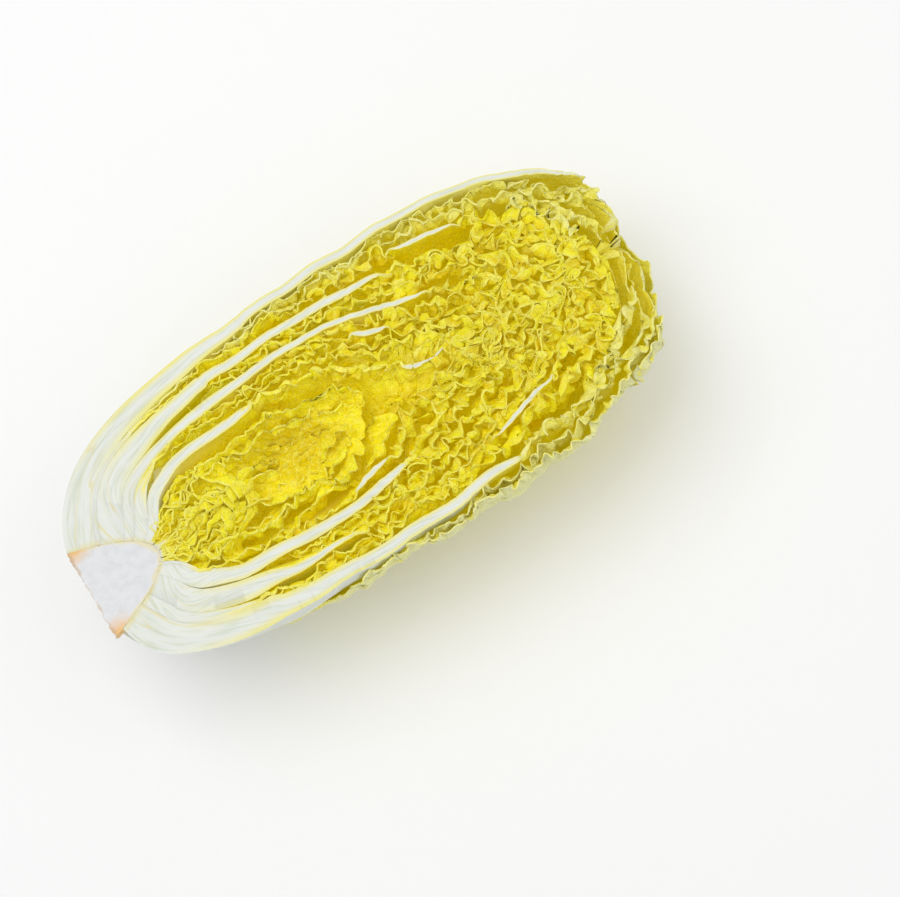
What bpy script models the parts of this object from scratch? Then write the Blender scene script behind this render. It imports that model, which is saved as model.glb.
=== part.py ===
"""Half a napa cabbage, cut lengthwise through its core, lying on its rounded back with the cut face up.

Metres, +Z up. +X runs along the head from the cut stem end to the leaf tips, and the cut face is level.
The core is a half dome. Leaves grow round it in a spiral, each one a curved sheet with a thick pale rib, and they
lie in layers from the outside in. A place on a layer is given by s, the share of the way from the core to the tip
of the head, and by phi, the angle round the head from one edge of the cut face (0) to the other (180 degrees).
"""

import math

import bmesh
import bpy
from mathutils import Vector

# The head
HALF_LENGTH = 0.148
HALF_WIDTH = 0.071
FLAT_DEPTH = 0.069  # from the cut face down to the flat spot that the half lies on
OUTLINE_POWER = 3.0  # of the superellipse that the cut face's outline follows
OUTLINE_STEPS = 400
LOPSIDED = 0.055  # how much wider the head is towards phi 180, and narrower towards phi 0
LOPSIDED_FULL = 0.15  # where up the head it is so in full

# The core
BUTT_RADIUS = 0.023
CORE_HEIGHT = 0.038
CORE_RIM_X = 0.0016
CORE_BULGE = 2.0  # power of the dome's profile
CORE_RINGS = 7
CORE_STEPS = 14
CORE_GAP = 0.0008

# The loose middle that the layers close in on, as a share of the way from the axis to the outside
HEART_AT_CORE = 0.22
HEART_WIDEST = 0.40
HEART_AT_TIP = 0.05
HEART_RISE_END = 0.22
HEART_FALL_START, HEART_FALL_END = 0.42, 0.80
AXIS_TIP_X = 0.205  # where the innermost layer's tip lies

# The leaves
LEAVES = 22
LEFT_OUT = (6,)  # its rib grew beyond the cut, and only scraps of it reach this half
FIRST_ANGLE = 172.0
GOLDEN_ANGLE = 137.508
DOWN = 90.0  # the angle that points at the table
TOP_ANGLES = (0.0, 180.0)  # of the cut face's two edges
STALK_HALF_ANGLE = 44.0
BLADE_HALF_ANGLE = 105.0
BLADE_STARTS, BLADE_WIDEST = 0.15, 0.48
OVER_HALF_ANGLE = 300.0  # at the tip, where the leaves close over the head
OVER_STARTS, OVER_ENDS = 0.74, 0.97
BLADE_THICKNESS = 0.0010
RIB_OUTER, RIB_INNER = 0.0068, 0.0044  # thickness of the first and the last leaf's rib at the core
RIB_TAPER = 0.6
RIB_TIP_HALF_ANGLE = 10.0
RIB_NARROWS = 1.6
LEAST_GAP = 0.0011
FADE_START, FADE_END = 24.0, 56.0  # beyond a leaf's edge, where the layers inside it move back out
PACKED_UNTIL, LOOSE_FROM = 0.20, 0.42  # the ribs fill all the room up to here, and none of it from there
THICKEST = 2.6  # how many times thicker the ribs may get to fill the room

# Rows of points up a leaf and columns round it, the same for all leaves, so that they stay nested
STALK_ROWS = (0.04, 0.08, 0.125, 0.18, 0.25, 0.32)
BLADE_ROWS = 15
COLUMNS = (0.0, 20.0, 40.0, 62.0, 84.0, 102.0, 122.0, 142.0, 161.0, 180.0)
RUFFLE = 0.0024  # how far every other point is set in
RUFFLE_STARTS, RUFFLE_FULL = 0.26, 0.42
RUFFLE_ENDS = 0.90
FLAT_HALF_ANGLE, UNFLAT_HALF_ANGLE = 13.0, 27.0  # the flat spot isn't ruffled
SCALLOP_ANGLE = 4.0
TIPS = (0.93, 0.955, 0.945, 0.97, 0.96)  # the outermost leaves end here, and the others close over the tip
LEAST_FILLED = 0.5  # share of a cell of the grid that a leaf has to fill
MOST_SLIDE = 0.42  # of the grid's spacing, by which an edge's points are moved in to follow the leaf's edge
TIP_NOTCH = 0.3  # of a row, by which every other point of a free tip is set back
OUTER_LEAVES = 5  # in the outer leaves' material

# Heart leaves: angle, half width, share of the heart's depth, where each ends
HEART_LEAVES = (
    (138.0, 62.0, 0.84, 0.62),
    (38.0, 58.0, 0.66, 0.56),
    (112.0, 50.0, 0.48, 0.50),
    (168.0, 40.0, 0.32, 0.40),
    (22.0, 46.0, 0.18, 0.33),
)
HEART_LEAF_THICKNESS = 0.0010
HEART_ROWS = 10
HEART_COLUMN_WIDTH = 0.011
HEART_COLUMNS_LEAST = 3
HEART_RUFFLE = 0.0006
HEART_RUFFLE_STARTS = (0.1, 0.2)
HEART_FOOT = 0.55  # width at the foot and the tip, as a share of the widest
HEART_OPENS = 0.15  # how far along its widening a heart leaf is at its foot

MERGE_DISTANCE = 1e-6
ROUNDING = 6  # decimals at which two grid points count as one
CORE_SHARP_ANGLE = 40.0

OUTER_COLOUR = (0.88, 0.89, 0.55, 1.0)
BLADE_COLOUR = (0.92, 0.84, 0.25, 1.0)
HEART_COLOUR = (0.90, 0.76, 0.12, 1.0)
CORE_COLOUR = (0.92, 0.92, 0.88, 1.0)
LEAF_ROUGHNESS = 0.45


def smoothstep(low, high, value):
    """0 below low, 1 above high and a smooth rise between."""
    share = min(1.0, max(0.0, (value - low) / (high - low)))
    return share * share * (3 - 2 * share)


def mix(first, last, share):
    return first + (last - first) * share


def outline_points():
    """Even points (x, radius) along the cut face's outline, from the rim of the core to the tip."""
    start = math.asin((BUTT_RADIUS / HALF_WIDTH) ** (OUTLINE_POWER / 2))
    power = 2 / OUTLINE_POWER
    dense = []
    for i in range(OUTLINE_STEPS + 1):
        turn = mix(start, math.pi, (1 - math.cos(math.pi * i / OUTLINE_STEPS)) / 2)
        along = -math.copysign(abs(math.cos(turn)) ** power, math.cos(turn))
        dense.append((HALF_LENGTH * (1 + along), HALF_WIDTH * abs(math.sin(turn)) ** power))
    dense[-1] = (2 * HALF_LENGTH, 0.0)
    travelled = [0.0]
    for (x0, r0), (x1, r1) in zip(dense, dense[1:]):
        travelled.append(travelled[-1] + math.hypot(x1 - x0, r1 - r0))
    even = []
    j = 0
    for i in range(OUTLINE_STEPS + 1):
        goal = travelled[-1] * i / OUTLINE_STEPS
        while j < OUTLINE_STEPS - 1 and travelled[j + 1] < goal:
            j += 1
        share = (goal - travelled[j]) / (travelled[j + 1] - travelled[j])
        even.append((mix(dense[j][0], dense[j + 1][0], share), mix(dense[j][1], dense[j + 1][1], share)))
    return even


OUTLINE = outline_points()
OUTLINE_LENGTH = sum(math.dist(a, b) for a, b in zip(OUTLINE, OUTLINE[1:]))


def outline(s):
    """(x, radius) of the head's outside at s."""
    spot = min(max(s, 0.0), 1.0) * OUTLINE_STEPS
    i = min(int(spot), OUTLINE_STEPS - 1)
    (x0, r0), (x1, r1) = OUTLINE[i], OUTLINE[i + 1]
    return mix(x0, x1, spot - i), mix(r0, r1, spot - i)


def outside(s, phi):
    """(x, radius) of the head's outside at s and phi, flattened where it lies on the table."""
    x, radius = outline(s)
    turn = math.radians(phi)
    radius *= 1 - LOPSIDED * math.cos(turn) * smoothstep(0.0, LOPSIDED_FULL, s)
    return x, radius if phi in TOP_ANGLES else min(radius, FLAT_DEPTH / math.sin(turn))


def axis_x(s):
    return mix(CORE_HEIGHT, AXIS_TIP_X, s)


def depth_to_axis(s, phi):
    """How much room there is for layers at s and phi, from the outside to the axis."""
    x, radius = outside(s, phi)
    return math.hypot(x - axis_x(s), radius)


def place(s, phi, level):
    """The point at s and phi on the layer that is at this share of the way from the axis to the outside."""
    x, radius = outside(s, phi)
    bulge = mix(CORE_BULGE, 1.0, smoothstep(0.0, BLADE_STARTS, s))
    along = axis_x(s) + (x - axis_x(s)) * level**bulge
    turn = math.radians(phi)
    return Vector((along, -radius * level * math.cos(turn), -radius * level * math.sin(turn)))


def heart_level(s):
    """Where the layers end and the loose heart begins."""
    rise = smoothstep(0.0, HEART_RISE_END, s)
    fall = smoothstep(HEART_FALL_START, HEART_FALL_END, s)
    return mix(mix(HEART_AT_CORE, HEART_WIDEST, rise), HEART_AT_TIP, fall)


class Leaf:
    """One leaf of the spiral, outermost first."""

    def __init__(self, number):
        self.number = number
        # From -90 to 270 degrees, so that a rib that grew beyond the cut is past the nearer edge of this half.
        self.angle = (FIRST_ANGLE + GOLDEN_ANGLE * number + DOWN) % 360 - DOWN
        self.rib_at_core = mix(RIB_OUTER, RIB_INNER, number / (LEAVES - 1))
        self.tip = TIPS[number] if number < len(TIPS) else 1.0

    def half_angle(self, s):
        up = mix(STALK_HALF_ANGLE, BLADE_HALF_ANGLE, smoothstep(BLADE_STARTS, BLADE_WIDEST, s))
        return mix(up, OVER_HALF_ANGLE, smoothstep(OVER_STARTS, OVER_ENDS, s))

    def rib_share(self, s, phi):
        """1 on the rib's crest, falling to 0 at its edges."""
        half = mix(RIB_TIP_HALF_ANGLE, STALK_HALF_ANGLE, (1 - s) ** RIB_NARROWS)
        return max(0.0, 1 - ((phi - self.angle) / half) ** 2)

    def rib(self, s, phi):
        """How much thicker than the blade the leaf is."""
        crest = self.rib_at_core * (1 - s) ** RIB_TAPER - BLADE_THICKNESS
        return max(0.0, crest) * self.rib_share(s, phi)

    def presence(self, s, phi):
        """1 where the leaf is, falling to 0 beyond its sides. The layers inside it keep their place past its tip."""
        beyond = abs(phi - self.angle) - self.half_angle(s)
        return 1 - smoothstep(FADE_START, FADE_END, beyond)

    def covers(self, low_s, high_s, low_phi, high_phi):
        """Whether the leaf fills enough of this cell of the grid."""
        half = self.half_angle((low_s + high_s) / 2)
        filled = min(high_phi, self.angle + half) - max(low_phi, self.angle - half)
        reached = min(high_s, self.tip) - low_s
        return filled > LEAST_FILLED * (high_phi - low_phi) and reached > LEAST_FILLED * (high_s - low_s)


ALL_LEAVES = [Leaf(number) for number in range(LEAVES) if number not in LEFT_OUT]


def layers(s, phi):
    """(depth of the outer face, thickness) of every leaf at s and phi, sharing out the room there."""
    presence = [leaf.presence(s, phi) for leaf in ALL_LEAVES]
    ribs = [leaf.rib(s, phi) for leaf in ALL_LEAVES]
    room = depth_to_axis(s, phi) * (1 - heart_level(s))
    count = sum(presence)
    rib_room = room - count * (BLADE_THICKNESS + LEAST_GAP)
    packed = min(THICKEST, max(0.0, rib_room / max(sum(r * p for r, p in zip(ribs, presence)), LEAST_GAP)))
    thicker = mix(packed, min(1.0, packed), smoothstep(PACKED_UNTIL, LOOSE_FROM, s))
    thickness = [BLADE_THICKNESS + rib * thicker for rib in ribs]
    filled = sum(t * p for t, p in zip(thickness, presence))
    gap = max(LEAST_GAP, (room - filled) / max(count, 1.0))
    found = []
    depth = 0.0
    for thick, there in zip(thickness, presence):
        found.append((depth, thick))
        depth += (thick + gap) * there
    return found


def all_rows():
    """The values of s of the rows of points, from the core to the tip of the head."""
    step = (1 - STALK_ROWS[-1]) / BLADE_ROWS
    return [CORE_GAP / OUTLINE_LENGTH, *STALK_ROWS, *(STALK_ROWS[-1] + step * (i + 1) for i in range(BLADE_ROWS))]


ROWS = all_rows()
LAYERS = [[layers(s, phi) for phi in COLUMNS] for s in ROWS]


def ruffle(row, column):
    """How far a point of the grid is set in, the same for all layers."""
    if (row + column) % 2:
        return 0.0
    s = ROWS[row]
    size = RUFFLE * smoothstep(RUFFLE_STARTS, RUFFLE_FULL, s) * (1 - smoothstep(RUFFLE_ENDS, 1.0, s))
    return size * smoothstep(FLAT_HALF_ANGLE, UNFLAT_HALF_ANGLE, abs(COLUMNS[column] - DOWN))


def grid_point(order, row, column, inner):
    """The point of a leaf's outer or inner face on the grid, also where the leaf doesn't reach."""
    s, phi = ROWS[row], COLUMNS[column]
    depth, thickness = LAYERS[row][column][order]
    down = depth + ruffle(row, column) + (thickness if inner else 0)
    return place(s, phi, 1 - down / depth_to_axis(s, phi))


def grid_key(vertex):
    return tuple(round(c, ROUNDING) for c in vertex.co)


def sheet(name, rows, columns, kept, outer_at, inner_at):
    """A closed sheet, from a grid of outer points and, under them, as many inner points.

    Both faces are split into the same triangles, so that they never cross.
    """
    bm = bmesh.new()
    bmesh.ops.create_grid(bm, x_segments=columns, y_segments=rows, size=0.5)
    cell_of = {}
    for face in bm.faces:
        middle = face.calc_center_median()
        cell_of[face] = (int((middle.y + 0.5) * rows), int((middle.x + 0.5) * columns))
    bmesh.ops.delete(bm, geom=[face for face, cell in cell_of.items() if cell not in kept], context="FACES")
    bmesh.ops.triangulate(bm, faces=bm.faces[:], quad_method="FIXED")
    outer = bm.verts[:]
    spots = {grid_key(v): (round((v.co.y + 0.5) * rows), round((v.co.x + 0.5) * columns)) for v in outer}
    made = bmesh.ops.extrude_face_region(bm, geom=bm.faces[:], use_keep_orig=True)
    inner = [v for v in made["geom"] if isinstance(v, bmesh.types.BMVert)]
    for vertices, point_at in ((outer, outer_at), (inner, inner_at)):
        for vertex in vertices:
            vertex.co = point_at(*spots[grid_key(vertex)])
    bmesh.ops.remove_doubles(bm, verts=bm.verts, dist=MERGE_DISTANCE)
    bmesh.ops.dissolve_degenerate(bm, edges=bm.edges, dist=MERGE_DISTANCE)
    bmesh.ops.recalc_face_normals(bm, faces=bm.faces)
    if bm.calc_volume(signed=True) < 0:
        bmesh.ops.reverse_faces(bm, faces=bm.faces)
    mesh = bpy.data.meshes.new(name)
    bm.to_mesh(mesh)
    bm.free()
    return mesh


def add_object(name, mesh, material):
    obj = bpy.data.objects.new(name, mesh)
    bpy.context.scene.collection.objects.link(obj)
    mesh.materials.append(material)
    return obj


def leaf_cells(leaf):
    """The cells (row, column) of the common grid that the leaf covers."""
    cells = set()
    for i in range(len(ROWS) - 1):
        for j in range(len(COLUMNS) - 1):
            if leaf.covers(ROWS[i], ROWS[i + 1], COLUMNS[j], COLUMNS[j + 1]):
                cells.add((i, j))
    return cells


def slide(leaf, cells, row, column):
    """(neighbour, share): how far a grid point moves in towards which neighbour to be on the leaf's edge."""
    stay = (row, column), 0.0
    if row == max(i for i, j in cells) + 1:
        if leaf.tip == 1:
            return stay
        toward = (row - 1, column)
        share = (ROWS[row] - leaf.tip) / (ROWS[row] - ROWS[row - 1]) + (TIP_NOTCH if column % 2 else 0)
    else:
        columns = [j for i, j in cells if i in (row - 1, row)]
        side = (column == max(columns) + 1) - (column == min(columns))
        if not side or COLUMNS[column] in TOP_ANGLES:
            return stay
        scallop = SCALLOP_ANGLE if row % 2 else -SCALLOP_ANGLE
        edge = leaf.angle + side * (leaf.half_angle(ROWS[row]) + scallop)
        toward = (row, column - side)
        share = (COLUMNS[column] - edge) / (COLUMNS[column] - COLUMNS[column - side])
    return toward, min(MOST_SLIDE, max(0.0, share))


def build_leaf(order, leaf, material):
    cells = leaf_cells(leaf)

    def face_at(row, column, inner):
        toward, share = slide(leaf, cells, row, column)
        return grid_point(order, row, column, inner).lerp(grid_point(order, *toward, inner), share)

    mesh = sheet(
        f"leaf_{order + 1:02d}",
        len(ROWS) - 1,
        len(COLUMNS) - 1,
        cells,
        lambda i, j: face_at(i, j, False),
        lambda i, j: face_at(i, j, True),
    )
    return add_object(mesh.name, mesh, material)


def build_heart_leaf(number, angle, half, share, tip, material):
    """A loose small leaf of the heart. Its sides curl in towards its foot and its tip."""

    def face_at(i, j, inner):
        s = mix(CORE_GAP / OUTLINE_LENGTH, tip, i / (HEART_ROWS - 1))
        open_up = mix(HEART_FOOT, 1.0, math.sin(math.pi * min(1.0, HEART_OPENS + s / tip)))
        low = max(0.0, angle - half * open_up)
        high = min(180.0, angle + half * open_up)
        phi = mix(low, high, j / columns)
        level = share * heart_level(s)
        down = HEART_RUFFLE * (1 if i % 2 else -1) * smoothstep(*HEART_RUFFLE_STARTS, s)
        if inner:
            down += HEART_LEAF_THICKNESS
        return place(s, phi, level - down / depth_to_axis(s, phi))

    across = math.radians(2 * half) * HALF_WIDTH * HEART_WIDEST * share
    columns = max(HEART_COLUMNS_LEAST, round(across / HEART_COLUMN_WIDTH))
    cells = {(i, j) for i in range(HEART_ROWS - 1) for j in range(columns)}
    mesh = sheet(
        f"heart_leaf_{number + 1}",
        HEART_ROWS - 1,
        columns,
        cells,
        lambda i, j: face_at(i, j, False),
        lambda i, j: face_at(i, j, True),
    )
    return add_object(mesh.name, mesh, material)


def build_core(material):
    """The stem inside the head: a half dome on the flat, trimmed butt."""
    bm = bmesh.new()
    profile = [bm.verts.new((CORE_RIM_X, 0.0, 0.0))]
    for i in range(CORE_RINGS + 1):
        share = 1 - i / CORE_RINGS
        x = CORE_HEIGHT + (CORE_RIM_X - CORE_HEIGHT) * share**CORE_BULGE
        profile.append(bm.verts.new((x, -BUTT_RADIUS * share, 0.0)))
    edges = [bm.edges.new(pair) for pair in zip(profile, profile[1:])]
    bmesh.ops.spin(
        bm, geom=profile + edges, cent=(0, 0, 0), axis=(1, 0, 0), angle=math.pi, steps=CORE_STEPS
    )
    bmesh.ops.remove_doubles(bm, verts=bm.verts, dist=MERGE_DISTANCE)
    rim = [edge for edge in bm.edges if edge.is_boundary]
    bmesh.ops.contextual_create(bm, geom=rim)
    bmesh.ops.recalc_face_normals(bm, faces=bm.faces)
    mesh = bpy.data.meshes.new("core")
    bm.to_mesh(mesh)
    bm.free()
    mesh.shade_smooth()
    mesh.set_sharp_from_angle(angle=math.radians(CORE_SHARP_ANGLE))
    return add_object("core", mesh, material)


def make_material(name, colour, roughness=LEAF_ROUGHNESS):
    material = bpy.data.materials.new(name)
    material.use_nodes = True
    shader = material.node_tree.nodes["Principled BSDF"]
    shader.inputs["Base Color"].default_value = colour
    shader.inputs["Roughness"].default_value = roughness
    shader.inputs["Metallic"].default_value = 0.0
    return material


def stand_on_origin(objects):
    """Moves the half so that its flat spot is on Z = 0, under the middle of its box."""
    points = [obj.matrix_world @ vertex.co for obj in objects for vertex in obj.data.vertices]
    low = Vector([min(p[k] for p in points) for k in range(3)])
    high = Vector([max(p[k] for p in points) for k in range(3)])
    middle = (low + high) / 2
    for obj in objects:
        obj.location = (-middle.x, -middle.y, -low.z)


def main():
    for obj in list(bpy.data.objects):
        bpy.data.objects.remove(obj)
    outer = make_material("outer_leaf", OUTER_COLOUR)
    blade = make_material("inner_leaf", BLADE_COLOUR)
    heart = make_material("heart_leaf", HEART_COLOUR)
    core = make_material("core", CORE_COLOUR)
    objects = [build_core(core)]
    for order, leaf in enumerate(ALL_LEAVES):
        objects.append(build_leaf(order, leaf, outer if leaf.number < OUTER_LEAVES else blade))
    for number, (angle, half, share, tip) in enumerate(HEART_LEAVES):
        objects.append(build_heart_leaf(number, angle, half, share, tip, heart))
    stand_on_origin(objects)


main()
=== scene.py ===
"""Half a napa cabbage, cut lengthwise, dressed for its portrait.

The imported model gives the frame: where the core, the cut face and the table are. Every leaf is rebuilt here as a
fine, crinkled sheet on the same layers, with a cut edge, a fleshy rib and a puckered blade, and takes the place of
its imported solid. s is the share of the way from the core to the tip of the head, phi the angle round the head from
one edge of the cut face (0) to the other (180 degrees), and level the share of the way from the axis to the outside.
"""

import logging  # noqa: E402
import math  # noqa: E402
from dataclasses import dataclass, field  # noqa: E402
from enum import Enum, IntEnum  # noqa: E402

import bmesh  # noqa: E402
import bpy  # noqa: E402
import numpy as np  # noqa: E402
from mathutils import Matrix, Vector  # noqa: E402


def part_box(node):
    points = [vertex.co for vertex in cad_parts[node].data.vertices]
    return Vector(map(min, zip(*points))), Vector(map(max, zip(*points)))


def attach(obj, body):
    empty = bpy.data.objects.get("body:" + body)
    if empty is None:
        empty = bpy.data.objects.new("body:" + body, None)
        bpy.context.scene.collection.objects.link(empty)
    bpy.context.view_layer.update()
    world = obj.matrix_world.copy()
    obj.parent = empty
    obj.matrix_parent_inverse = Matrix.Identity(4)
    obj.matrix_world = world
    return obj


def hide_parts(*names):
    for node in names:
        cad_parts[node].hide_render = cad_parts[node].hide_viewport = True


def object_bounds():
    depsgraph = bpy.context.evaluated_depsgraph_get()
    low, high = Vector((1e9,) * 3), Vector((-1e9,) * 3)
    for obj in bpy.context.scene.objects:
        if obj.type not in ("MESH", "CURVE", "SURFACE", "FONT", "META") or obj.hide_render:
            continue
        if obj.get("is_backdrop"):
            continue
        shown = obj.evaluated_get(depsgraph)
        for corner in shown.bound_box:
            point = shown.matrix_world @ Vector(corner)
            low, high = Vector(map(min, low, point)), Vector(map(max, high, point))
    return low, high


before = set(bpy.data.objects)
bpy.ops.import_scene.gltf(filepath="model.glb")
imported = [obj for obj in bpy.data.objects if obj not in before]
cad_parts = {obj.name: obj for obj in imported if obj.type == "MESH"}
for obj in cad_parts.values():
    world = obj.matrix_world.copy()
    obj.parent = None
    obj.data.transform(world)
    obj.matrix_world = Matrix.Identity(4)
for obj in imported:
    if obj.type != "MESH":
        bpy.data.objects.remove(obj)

LOG = logging.getLogger("napa_cabbage")
BODY = "root"
MM = 0.001
BLADE = 0.0010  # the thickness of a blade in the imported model
RIM_X = 0.0016  # how far the core's rim lies in from the end of the head
FIRST_S = 0.0003  # the s that a leaf starts at, just off the core
PALE_EDGE = 0.8 * MM  # how far the pale edge of a leaf fades inwards
OPAQUE_BLACK = (0.0, 0.0, 0.0, 1.0)
Array = np.ndarray
Point = tuple[float, float, float]
Colour = tuple[float, float, float, float]
Material = bpy.types.Material
Object = bpy.types.Object
Socket = bpy.types.NodeSocket


def smooth(low: float, high: float, value: Array) -> Array:
    """Rise smoothly from 0 at low to 1 at high."""
    share = np.clip((np.asarray(value, dtype=float) - low) / (high - low), 0.0, 1.0)
    return share * share * (3 - 2 * share)


def mix(first: Array, last: Array, share: Array) -> Array:
    """Go from first to last as share goes from 0 to 1."""
    return first + (last - first) * share


def length_of(vectors: Array) -> Array:
    """Give the length of each vector in the last axis, kept as an axis of one."""
    return np.sqrt((vectors * vectors).sum(axis=-1, keepdims=True))


def unit(vectors: Array, least: float = 1e-12) -> Array:
    """Bring vectors to a length of one."""
    return vectors / np.maximum(length_of(vectors), least)


def unit_normals(points: Array) -> Array:
    """Give the unit normals of a grid of points."""
    return unit(np.cross(np.gradient(points, axis=1), np.gradient(points, axis=0)))


def to_sides(points: Array) -> Array:
    """Give how far each point of a grid is, along its row, from the nearer end."""
    steps = length_of(np.diff(points, axis=1))[..., 0]
    travelled = np.concatenate([np.zeros((len(points), 1)), np.cumsum(steps, axis=1)], axis=1)
    return np.minimum(travelled, travelled[:, -1:] - travelled)


def crest(off: Array, half: Array) -> Array:
    """Give 1 in the middle of a rib, falling to 0 at half its width."""
    return np.maximum(0.0, 1 - (off / half) ** 2)


def linked(name: str, data: bpy.types.ID) -> Object:
    """Make an object and put it in the scene."""
    made = bpy.data.objects.new(name, data)
    bpy.context.scene.collection.objects.link(made)
    return made


class Slot(Enum):
    """The record's material slots."""

    CORE = "core"
    OUTER = "outer_leaf"
    INNER = "inner_leaf"
    HEART = "heart_leaf"


class Field(IntEnum):
    """The first seed of each kind of random field."""

    SWAY = 11
    RIPPLE = 12
    BUTT = 21
    BUTT_FINER = 22
    CUT_FACE = 23
    HEIGHT = 100
    BROAD = 150
    FINER = 200
    LEAN = 300
    SIDES = 400
    FRINGE = 500
    RECESS = 600
    UNEVEN = 650
    HEART_BROAD = 700
    BLISTER = 800
    HEART_FINER = 900
    HEART_LEAN = 1000


def hand_over(piece: Object, node: str, slot: Slot) -> Object:
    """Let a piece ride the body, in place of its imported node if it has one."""
    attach(piece, BODY)
    if node:
        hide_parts(node)
    return piece


@dataclass(frozen=True)
class Ripple:
    """A smooth random field in space, made of a few sine waves of about one length.

    Attributes:
        seed: Which field it is.
        wavelength: Length of its waves in metres.
        waves: How many sine waves are added up.
    """

    seed: int
    wavelength: float
    waves: int = 14

    def _sum(self, points: Array, source: np.random.Generator) -> Array:
        """Add up one set of waves at the points."""
        turns = source.normal(size=(self.waves, 3))
        turns /= np.linalg.norm(turns, axis=1, keepdims=True)
        speeds = 2 * math.pi / self.wavelength * source.uniform(0.75, 1.3, size=self.waves)
        phases = source.uniform(0, 2 * math.pi, size=self.waves)
        total = np.zeros(points.shape[:-1])
        for turn, speed, phase in zip(turns, speeds, phases):
            total += np.sin(points @ (turn * speed) + phase)
        return total * math.sqrt(2 / self.waves)

    def values(self, points: Array) -> Array:
        """Give one number of about unit size at each point."""
        return self._sum(points, np.random.default_rng(self.seed))

    def vectors(self, points: Array) -> Array:
        """Give a vector of about unit parts at each point."""
        source = np.random.default_rng(self.seed)
        return np.stack([self._sum(points, source) for _ in range(3)], axis=-1)


@dataclass(frozen=True)
class HeadForm:
    """The form that all leaves share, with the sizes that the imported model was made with.

    Attributes:
        origin: Where the middle of the butt lies on the cut face.
    """

    origin: Point
    half_length: float = 0.148
    half_width: float = 0.071
    flat_depth: float = 0.069
    outline_power: float = 3.0
    outline_steps: int = 400
    lopsided: float = 0.055
    butt_radius: float = 0.023
    core_height: float = 0.038
    axis_tip_x: float = 0.205
    shoulder: float = 0.15
    core_bulge: float = 2.0
    heart_levels: tuple[float, float, float] = (0.22, 0.40, 0.05)
    heart_rise_end: float = 0.22
    heart_fall: tuple[float, float] = (0.42, 0.80)
    table: list = field(default_factory=list, repr=False, compare=False)

    def _outline(self) -> tuple[Array, Array]:
        """Give x and radius of even points along the outline, worked out once."""
        if not self.table:
            start = math.asin((self.butt_radius / self.half_width) ** (self.outline_power / 2))
            power = 2 / self.outline_power
            share = (1 - np.cos(np.linspace(0, math.pi, self.outline_steps + 1))) / 2
            turn = mix(start, math.pi, share)
            along = -np.copysign(np.abs(np.cos(turn)) ** power, np.cos(turn))
            x = self.half_length * (1 + along)
            radius = self.half_width * np.abs(np.sin(turn)) ** power
            x[-1], radius[-1] = 2 * self.half_length, 0.0
            travelled = np.concatenate([[0.0], np.cumsum(np.hypot(np.diff(x), np.diff(radius)))])
            even = np.linspace(0, travelled[-1], self.outline_steps + 1)
            self.table.extend([np.interp(even, travelled, values) for values in (x, radius)] + [travelled[-1]])
        return self.table[0], self.table[1]

    @property
    def outline_length(self) -> float:
        """Give the length of the outline from the core to the tip."""
        self._outline()
        return self.table[2]

    def outside(self, s: Array, phi: Array) -> tuple[Array, Array]:
        """Give x and radius of the head's outside.

        Args:
            s: Shares of the way up the head.
            phi: Angles in degrees.

        Returns:
            The two arrays, with the flat spot on the table taken off.
        """
        xs, radii = self._outline()
        spots = np.linspace(0, 1, self.outline_steps + 1)
        turn = np.radians(phi)
        radius = np.interp(s, spots, radii) * (1 - self.lopsided * np.cos(turn) * smooth(0.0, self.shoulder, s))
        flat = self.flat_depth / np.maximum(np.sin(turn), 1e-4)
        return np.interp(s, spots, xs), np.minimum(radius, flat)

    def axis_x(self, s: Array) -> Array:
        """Give where on the axis the layers at s are centred."""
        return mix(self.core_height, self.axis_tip_x, s)

    def room(self, s: Array, phi: Array) -> Array:
        """Give the distance from the outside to the axis."""
        x, radius = self.outside(s, phi)
        return np.hypot(x - self.axis_x(s), radius)

    def place(self, s: Array, phi: Array, level: Array) -> Array:
        """Give the points at s, phi and level in the scene.

        Args:
            s: Shares of the way up the head.
            phi: Angles in degrees.
            level: Shares of the way from the axis to the outside.

        Returns:
            Points, with x, y and z along the last axis.
        """
        x, radius = self.outside(s, phi)
        bulge = mix(self.core_bulge, 1.0, smooth(0.0, self.shoulder, s))
        level = np.maximum(level, 0.0)
        along = self.axis_x(s) + (x - self.axis_x(s)) * level**bulge
        turn = np.radians(phi)
        points = np.stack([along, -radius * level * np.cos(turn), -radius * level * np.sin(turn)], axis=-1)
        return points + np.array(self.origin)

    def heart_level(self, s: Array) -> Array:
        """Give the level where the layers end and the loose heart begins."""
        foot, widest, tip = self.heart_levels
        rising = mix(foot, widest, smooth(0.0, self.heart_rise_end, s))
        return mix(rising, tip, smooth(*self.heart_fall, s))


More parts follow.
